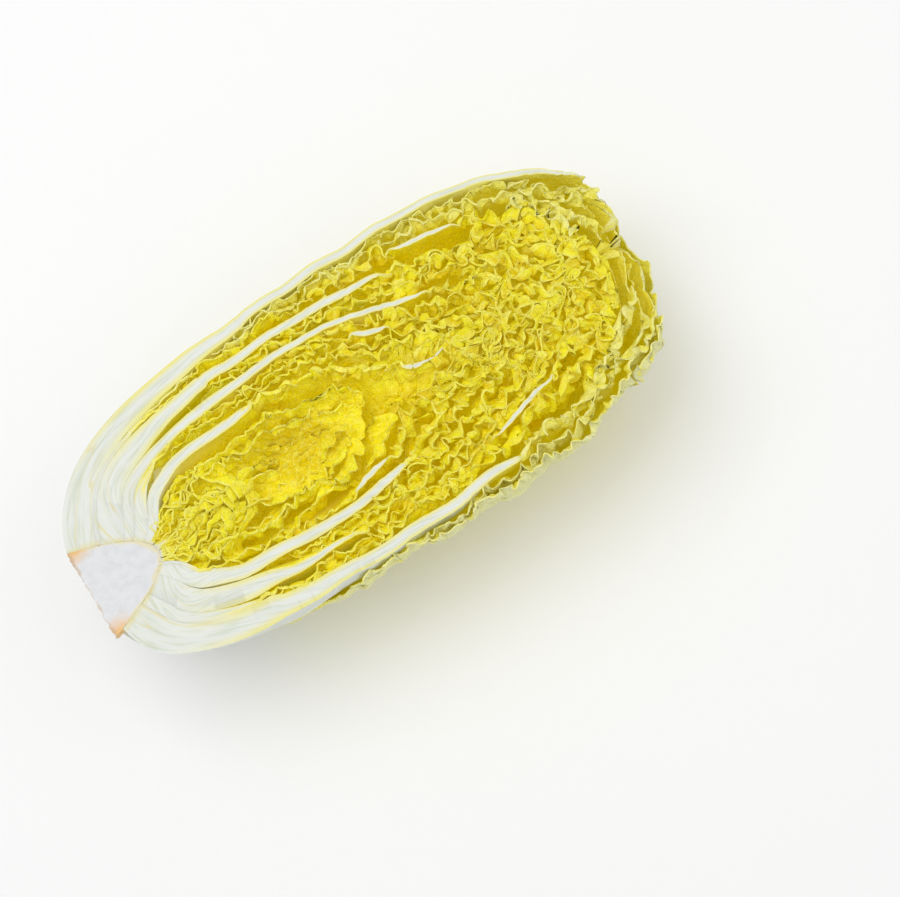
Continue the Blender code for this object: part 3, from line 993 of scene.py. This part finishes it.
    def build(self, material: Material) -> Object:
        """Make the leaf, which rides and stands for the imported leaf, with a finish."""
        spot, form = self.spot, self.layering.form
        s, phi = self.grid()
        depth, thickness, gap, beyond = self.layering.at(spot.order, s, phi)
        room = form.room(s, phi)
        rib = spot.white_rib(s, phi)
        if spot.through_cut:
            pushed = np.clip(beyond - 0.4 * MM - depth, 0.0, None) * (1 - spot.covering(s, phi))
            depth, thickness = depth + pushed, np.maximum(thickness - pushed, 0.3 * MM)
        left = np.clip(beyond - self.slit - depth - thickness, 0.0, 20 * MM)
        fleshy = np.clip(beyond - 0.7 * MM - depth - thickness, 0.0, 2.0 * MM) * smooth(0.1, 0.6, rib)
        opened = smooth(self.slit_start, self.slit_start + 0.09, s)
        thickness = thickness + mix(left, fleshy * smooth(1.0, 0.8, s), opened)
        outer = form.place(s, phi, 1 - depth / room)
        inner = form.place(s, phi, 1 - (depth + thickness) / room)
        middle, half = (outer + inner) / 2, (outer - inner) / 2
        normals = self.at_pole(unit_normals(middle))
        sign = np.sign((normals * half).sum(axis=-1).mean())
        normals *= sign
        above, below = middle[..., 2], form.origin[2] - middle[..., 2]
        loose = smooth(self.stalk_end, self.stalk_end + 0.20, s)
        calm = 1 - 0.95 * smooth(0.0, 0.30, rib) * smooth(1.0, 0.80, s)
        outermost = mix(0.45, 1.0, smooth(0.0, 5.0, spot.order)) if spot.order < 5 else 1.0
        to_edge = to_sides(middle)
        fine = smooth(self.edge_width, 0.5 * self.edge_width, to_edge)
        shift = self.crinkle.shared(middle, loose * mix(0.35, 1.0, calm), loose * calm * mix(0.45, 1.0, fine))
        own, height = self.crinkle.own(middle, normals, spot.number, fine)
        lively = loose * calm * outermost * mix(1.0, 1.35, smooth(0.010, 0.0, below))
        lively = lively * mix(1.0, 1.2, smooth(0.6, 0.85, s))
        lively = lively * np.clip(gap / (1.9 * MM), 0.6, 1.5)
        shift = shift + own * lively[..., None]
        shift[..., 2] *= smooth(0.0, 0.009, below) * smooth(0.0, 0.010, above)
        uneven_edge = Ripple(Field.RECESS + spot.number, 9 * MM).values(middle)
        recess = 0.35 * MM + 2.8 * MM * smooth(-0.4, 1.6, uneven_edge)
        shift[..., 2] -= recess * loose * calm * smooth(0.020, 0.0, below)
        moved = middle + shift
        uneven = 1 + loose * calm * (0.20 * Ripple(Field.UNEVEN + spot.number, 5 * MM).values(middle) - 0.34)
        flat_half = np.abs((half * normals).sum(axis=-1, keepdims=True)) * uneven[..., None]
        wavy = self.facing_all(moved) * sign
        offset = mix(half, wavy * flat_half, (loose * smooth(0.0, 0.004, room - depth))[..., None])
        offset = self.thinned(moved, offset)
        faces = [moved + offset, moved - offset]
        ceiling = form.origin[2] - self.steps_down * ((0.618 * spot.order) % 1.0)
        for grid, floor in zip(faces, (0.0, 0.4 * MM)):
            grid[..., 2] = np.clip(grid[..., 2], floor, ceiling)
        slab = Slab(f"frilled_{spot.name}", s.shape[0] - 1, s.shape[1] - 1, self.edge_columns)
        slab.bend(*faces)
        # Painted glow share: weak at the cut face, rising below it and deeper in from the outside of the head.
        deep = mix(0.3, 1.0, smooth(0.0, 6 * MM, below))
        slab.paint(
            rib=rib,
            facing=(np.zeros_like(s), np.ones_like(s)),
            # pucker: how far the blade rises or dips, which the finish turns into painted light and shade.
            pucker=np.clip(0.5 + 0.25 * height * lively, 0.0, 1.0),
            along=s,
            stalk=1 - smooth(self.stalk_end, self.stalk_end + 0.13, s),
            within=(smooth(4 * MM, 11 * MM, depth) * deep, deep),
            outside=(smooth(9 * MM, 2 * MM, depth), np.zeros_like(s)),
            edge=np.exp(-to_edge / PALE_EDGE),
        )
        slab.lay_grain(np.radians(phi - spot.angle) * 0.06, s * form.outline_length, depth)
        return hand_over(slab.finish(material), spot.name, Slot.OUTER if spot.outer else Slot.INNER)


@dataclass
class HeartLeaf:
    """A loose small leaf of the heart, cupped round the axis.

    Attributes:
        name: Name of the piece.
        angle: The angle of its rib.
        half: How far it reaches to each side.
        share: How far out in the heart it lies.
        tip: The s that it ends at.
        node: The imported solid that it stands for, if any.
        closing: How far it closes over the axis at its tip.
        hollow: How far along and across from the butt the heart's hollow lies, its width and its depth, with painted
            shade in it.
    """

    name: str
    form: HeadForm
    angle: float
    half: float
    share: float
    tip: float
    seed: int
    node: str = ""
    closing: float = 0.0
    rib_width: float = 12.0
    rib_paleness: float = 0.45
    rows: int = 96
    columns: int = 40
    thickness: float = 0.8 * MM
    droop: float = 2.5 * MM
    hollow: tuple[float, float, float, float] = (0.115, 0.008, 0.010, 0.022)

    def build(self, material: Material) -> Object:
        """Make the leaf, which rides and stands for its packed leaf if it has one, with a finish."""
        form = self.form
        v, u = np.meshgrid(np.linspace(0, 1, self.rows + 1), np.linspace(0, 1, self.columns + 1), indexing="ij")
        round_off = 0.10 * (2 * u - 1) ** 4
        s = np.maximum(self.tip * v * (1 - round_off * v), FIRST_S)
        reach = self.half * mix(0.55, 1.0, np.sin(math.pi * np.minimum(1.0, 0.15 + v)))
        phi = mix(np.clip(self.angle - reach, 0.0, 180.0), np.clip(self.angle + reach, 0.0, 180.0), u)
        closed = np.sqrt(np.maximum(1 - v**2.6, 0.0))
        foot = 0.5 + 0.5 * self.share if self.share > 0.6 else self.share
        share = mix(foot, self.share, smooth(0.0, 0.10, s))
        level = share * form.heart_level(s) * mix(1.0, closed, self.closing)
        middle = form.place(s, phi, level)
        outward = form.place(s, phi, level + 0.02) - middle
        normals = unit_normals(middle)
        sign = np.sign((normals * outward).sum(axis=-1).mean())
        normals *= sign
        loose = smooth(0.03, 0.22, v)
        below = form.origin[2] - middle[..., 2]
        broad = Ripple(Field.HEART_BROAD + self.seed, 26 * MM).vectors(middle)
        blister = Ripple(Field.BLISTER + self.seed, 7.5 * MM, 18).values(middle)
        finer = Ripple(Field.HEART_FINER + self.seed, 3.8 * MM).values(middle)
        lean = Ripple(Field.HEART_LEAN + self.seed, 7 * MM).vectors(middle)
        lively = loose * mix(0.7, 1.35, smooth(0.25, 0.0, np.minimum(u, 1 - u)))
        shift = broad * (1.7 * MM * loose)[..., None]
        shift += normals * (lively * (1.15 * MM * np.abs(blister) + 0.35 * MM * finer - 0.8 * MM))[..., None]
        shift += lean * (0.7 * MM * lively)[..., None]
        shift[..., 2] *= smooth(-0.001, 0.008, below)
        shift[..., 2] -= self.droop * loose * smooth(0.012, 0.0, below) * smooth(-1.2, 1.2, broad[..., 0])
        along, side, wide, deep = self.hollow
        x, y = (middle[..., axis] - form.origin[axis] for axis in (0, 1))
        off = np.hypot((x - along) / 1.5, y - side)
        in_hollow = np.exp(-((off / wide) ** 2))
        shift[..., 2] -= deep * in_hollow * smooth(0.020, 0.0, below)
        moved = middle + shift
        wavy = unit_normals(moved) * sign
        rib = crest(phi - self.angle, 4 + self.rib_width * (1 - v))
        half = self.thickness / 2 + 0.9 * MM * rib * (1 - v)
        half = np.minimum(half, 0.7 * np.hypot(y, below))[..., None]
        moved[..., 2:] = np.minimum(moved[..., 2:], form.origin[2] - np.abs(wavy[..., 2:] * half))
        faces = [moved + wavy * half, moved - wavy * half]
        for grid in faces:
            grid[..., 2] = np.clip(grid[..., 2], 0.0, form.origin[2])
        slab = Slab(self.name, self.rows, self.columns)
        slab.bend(*faces)
        slab.paint(
            rib=rib * self.rib_paleness * (1 - v) ** 0.7,
            facing=(np.zeros_like(s), np.ones_like(s)),
            # pucker: lighter where blisters rise, with painted shade in the heart's hollow.
            pucker=np.clip(0.3 + 0.4 * np.abs(blister) * lively - 0.8 * in_hollow, 0.0, 1.0),
            along=s + 0.02,
            stalk=1 - smooth(0.0, 0.012, s),
            # Painted glow share: rising below the cut face and nearly none in the hollow, which leaves painted shade
            # there.
            within=mix(0.25, 1.0, smooth(0.0, 9 * MM, below)) * (1 - 0.95 * in_hollow),
            outside=np.zeros_like(s),
            edge=np.exp(-to_sides(moved) / PALE_EDGE),
        )
        slab.lay_grain(np.radians(phi - self.angle) * 0.03, s * form.outline_length, 0.03 * level)
        return hand_over(slab.finish(material), self.node, Slot.HEART)


@dataclass
class Core:
    """The stem inside the head: a half dome, with a fine cut face and a rough, dried butt."""

    form: HeadForm
    rings: int = 26
    steps: int = 40
    layers: int = 24
    roughness: float = 0.4 * MM

    def dome_x(self, radius: float) -> float:
        """Give how far up the dome is at a distance from the axis."""
        share = radius / self.form.butt_radius
        return self.form.core_height + (RIM_X - self.form.core_height) * share**self.form.core_bulge

    def build(self, material: Material) -> Object:
        """Make the core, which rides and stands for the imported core, with a finish."""
        bm = bmesh.new()
        radii = [self.form.butt_radius * k / self.rings for k in range(self.rings + 1)]
        butt = [bm.verts.new((RIM_X, -r, 0.0)) for r in radii]
        dome = [bm.verts.new((self.dome_x(r), -r, 0.0)) for r in reversed(radii[:-1])]
        profile = butt + dome
        edges = [bm.edges.new(pair) for pair in zip(profile, profile[1:])]
        half_turn = {"cent": (0, 0, 0), "axis": (1, 0, 0), "angle": math.pi, "steps": self.steps}
        bmesh.ops.spin(bm, geom=profile + edges, **half_turn)
        turned = bm.verts[:]
        cut = bmesh.ops.create_grid(bm, x_segments=self.layers, y_segments=2 * self.rings, size=0.5)["verts"]
        for vertex in cut:
            across = vertex.co.y * 2 * self.form.butt_radius
            up = vertex.co.x + 0.5
            vertex.co = (mix(RIM_X, self.dome_x(abs(across)), up), across, 0.0)
        bmesh.ops.remove_doubles(bm, verts=turned + cut, dist=1e-5)
        bmesh.ops.dissolve_degenerate(bm, edges=bm.edges, dist=1e-6)
        bmesh.ops.recalc_face_normals(bm, faces=bm.faces)
        bmesh.ops.translate(bm, verts=bm.verts, vec=self.form.origin)
        mesh = bpy.data.meshes.new("trimmed_core")
        bm.to_mesh(mesh)
        bm.free()
        self._roughen(mesh)
        mesh.shade_smooth()
        mesh.set_sharp_from_angle(angle=math.radians(45.0))
        mesh.materials.append(material)
        return hand_over(linked(mesh.name, mesh), "core", Slot.CORE)

    def _roughen(self, mesh: bpy.types.Mesh) -> None:
        """Roughen the trimmed butt and hollow the cut face a little."""
        flat = np.empty(len(mesh.vertices) * 3)
        mesh.vertices.foreach_get("co", flat)
        points = flat.reshape(-1, 3)
        x = points[:, 0] - self.form.origin[0]
        out = np.hypot(points[:, 1] - self.form.origin[1], points[:, 2] - self.form.origin[2])
        near = smooth(RIM_X + 1.2 * MM, RIM_X, x)
        rough = Ripple(Field.BUTT, 5 * MM).values(points)
        rough = rough + 0.6 * Ripple(Field.BUTT_FINER, 2.2 * MM).values(points)
        points[:, 0] += near * self.roughness * (rough * 0.6 - 0.3 + 0.8 * smooth(0.018, 0.0, out))
        on_cut = points[:, 2] > self.form.origin[2] - 1e-6
        hollow = smooth(self.form.butt_radius, 0.0, out) * smooth(0.0, 0.012, x)
        waves = Ripple(Field.CUT_FACE, 9 * MM).values(points)
        points[on_cut, 2] -= (0.5 * MM * hollow * (1 + 0.4 * waves))[on_cut]
        mesh.vertices.foreach_set("co", points.ravel())
        mesh.update()


@dataclass
class Studio:
    """A pale floor, soft lights and the camera.

    Attributes:
        roll: How far the head is turned in the picture, in degrees.
        height: How steeply the camera looks down, in degrees.
        target: The middle of the picture.
        view_width: How much of the scene the picture spans, in metres.
        lit: What the lights look at.
        windows: The name, place, width in metres and power in watts of each light.
    """

    roll: float = 33.7
    height: float = 72.0
    target: Point = (0.0257, -0.0403, 0.069)
    view_width: float = 0.3996
    lens: float = 90.0
    sensor: float = 36.0
    lit: Point = (0.0, 0.0, 0.04)
    sky: float = 0.68
    windows: tuple[tuple[str, Point, float, float], ...] = (
        ("key_window", (-0.25, 0.45, 1.45), 1.3, 8.0),
        ("fill_window", (0.9, -0.5, 1.1), 1.2, 2.0),
    )

    def camera(self) -> None:
        """Set the camera at the photograph's angle."""
        roll, height = math.radians(self.roll), math.radians(self.height)
        back = Vector((0.0, -math.cos(height), math.sin(height)))
        away = Vector((0.0, math.sin(height), math.cos(height)))
        along = Vector((1.0, 0.0, 0.0))
        right = math.cos(roll) * along - math.sin(roll) * away
        up = math.sin(roll) * along + math.cos(roll) * away
        data = bpy.data.cameras.new("portrait_camera")
        data.lens, data.sensor_width, data.dof.use_dof = self.lens, self.sensor, False
        camera = linked(data.name, data)
        distance = self.view_width * self.lens / self.sensor
        turn = Matrix((right, up, back)).transposed().to_4x4()
        camera.matrix_world = Matrix.Translation(Vector(self.target) + back * distance) @ turn
        bpy.context.scene.camera = camera

    def floor(self) -> None:
        """Lay the pale floor."""
        bm = bmesh.new()
        bmesh.ops.create_grid(bm, x_segments=2, y_segments=2, size=4.0)
        mesh = bpy.data.meshes.new("pale_floor")
        bm.to_mesh(mesh)
        bm.free()
        graph = Graph("pale_floor")
        tone = graph.colour(graph.noise(graph.position(), 3.0), rgb(250, 250, 250), rgb(253, 253, 253))
        mesh.materials.append(graph.finished({"Base Color": tone, "Roughness": 0.9, "Specular IOR Level": 0.1}))
        floor = linked(mesh.name, mesh)
        floor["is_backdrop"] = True

    def light(self, name: str, spot: Point, size: float, power: float) -> None:
        """Hang a soft square light that looks at the cabbage.

        Args:
            name: Name of the light.
            spot: Where it hangs.
            size: Its width in metres.
            power: Its power in watts.
        """
        data = bpy.data.lights.new(name, "AREA")
        data.size, data.energy = size, power
        lamp = linked(name, data)
        towards = Vector(self.lit) - Vector(spot)
        lamp.matrix_world = Matrix.Translation(spot) @ towards.to_track_quat("-Z", "Y").to_matrix().to_4x4()

    def build(self) -> None:
        """Set up the whole studio."""
        scene = bpy.context.scene
        world = bpy.data.worlds.new("soft_white")
        world.use_nodes = True
        sky = world.node_tree.nodes["Background"].inputs
        sky["Color"].default_value = (1.0, 1.0, 1.0, 1.0)
        sky["Strength"].default_value = self.sky
        scene.world = world
        scene.view_settings.view_transform = "Standard"
        self.floor()
        for window in self.windows:
            self.light(*window)
        self.camera()


@dataclass
class Cabbage:
    """The half head, from its core out.

    Attributes:
        left_out: The numbers of the spiral's leaves that this half doesn't have.
        heart: Angle, half width, share and tip of each small leaf of the heart.
        folds: The same for each loose fold between them.
        sprigs: How many closed sprigs fill the middle of the heart.
    """

    form: HeadForm
    leaves: int = 22
    left_out: tuple[int, ...] = (6,)
    heart: tuple[tuple[float, ...], ...] = (
        (138.0, 62.0, 0.84, 0.62),
        (38.0, 58.0, 0.66, 0.56),
        (112.0, 50.0, 0.48, 0.50),
        (168.0, 40.0, 0.32, 0.40),
        (22.0, 46.0, 0.24, 0.33),
    )
    folds: tuple[tuple[float, ...], ...] = (
        (96.0, 84.0, 0.58, 0.60),
        (70.0, 66.0, 0.40, 0.55),
        (118.0, 60.0, 0.26, 0.58),
        (60.0, 56.0, 0.92, 0.66),
        (150.0, 50.0, 0.68, 0.50),
    )
    sprigs: int = 13
    outside_columns: int = 44
    inside_columns: int = 6

    def layering(self) -> Layering:
        """Place the leaves of the spiral."""
        numbers = [number for number in range(self.leaves) if number not in self.left_out]
        return Layering(self.form, tuple(LeafSpot(number, order) for order, number in enumerate(numbers)))

    def build(self) -> None:
        """Make every piece and report it."""
        # Each finish: painted shade colour of the blade's hollows, painted light colour of its puckers, and its
        # edges.
        outer = LeafFinish(Slot.OUTER, rgb(236, 220, 40), rgb(247, 238, 104), rgb(251, 245, 150)).build()
        inner = LeafFinish(Slot.INNER, rgb(240, 210, 0), rgb(252, 238, 26), rgb(254, 244, 104)).build()
        heart = LeafFinish(Slot.HEART, rgb(238, 210, 0), rgb(252, 238, 22), rgb(254, 245, 112)).build()
        report(Core(self.form).build(CoreFinish(self.form).build()))
        layering = self.layering()
        for spot in layering.leaves:
            middle_columns = self.outside_columns if spot.order < 3 else self.inside_columns
            sheet = LeafSheet(spot, layering, Crinkle(), middle_columns=middle_columns)
            report(sheet.build(outer if spot.outer else inner))
        for number, sizes in enumerate(self.heart):
            name = f"heart_leaf_{number + 1}"
            report(HeartLeaf(f"ruffled_{name}", self.form, *sizes, number, node=name).build(heart))
        for number, sizes in enumerate(self.folds):
            report(HeartLeaf(f"heart_fold_{number + 1}", self.form, *sizes, 20 + number).build(heart))
        for number in range(self.sprigs):
            report(self.sprig(number).build(heart))

    def sprig(self, number: int) -> HeartLeaf:
        """Place one of the sprigs, which lie on the two sides of the heart by turns and further in each time."""
        inwards = number / (self.sprigs - 1)
        angle = 38.0 + 9.0 * math.sin(5.0 * number) if number % 2 else 140.0 + 9.0 * math.cos(3.0 * number)
        sizes = (angle, 62.0, 0.94 - 0.84 * inwards, 0.30 - 0.17 * inwards)
        name = f"heart_sprig_{number + 1:02d}"
        return HeartLeaf(name, self.form, *sizes, 40 + number, closing=1.0, rows=52, columns=26)


def report(piece: Object) -> None:
    """Log a finished piece and its triangles."""
    LOG.info("%s: %d triangles", piece.name, sum(len(face.vertices) - 2 for face in piece.data.polygons))


def form_of_frame() -> HeadForm:
    """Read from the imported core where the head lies."""
    low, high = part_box("core")
    return HeadForm((low.x - RIM_X, (low.y + high.y) / 2, high.z))


def corners(box: tuple[Vector, Vector]) -> list[list[float]]:
    """Turn a box's two corners into plain lists."""
    return [[float(c) for c in corner] for corner in box]


def main() -> None:
    """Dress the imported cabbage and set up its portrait."""
    logging.basicConfig(level=logging.INFO, format="%(message)s")
    packed = corners(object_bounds())
    Studio().build()
    Cabbage(form_of_frame()).build()
    dressed = corners(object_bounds())
    LOG.info("packed %s, dressed %s", packed, dressed)


if __name__ == "__main__":
    main()
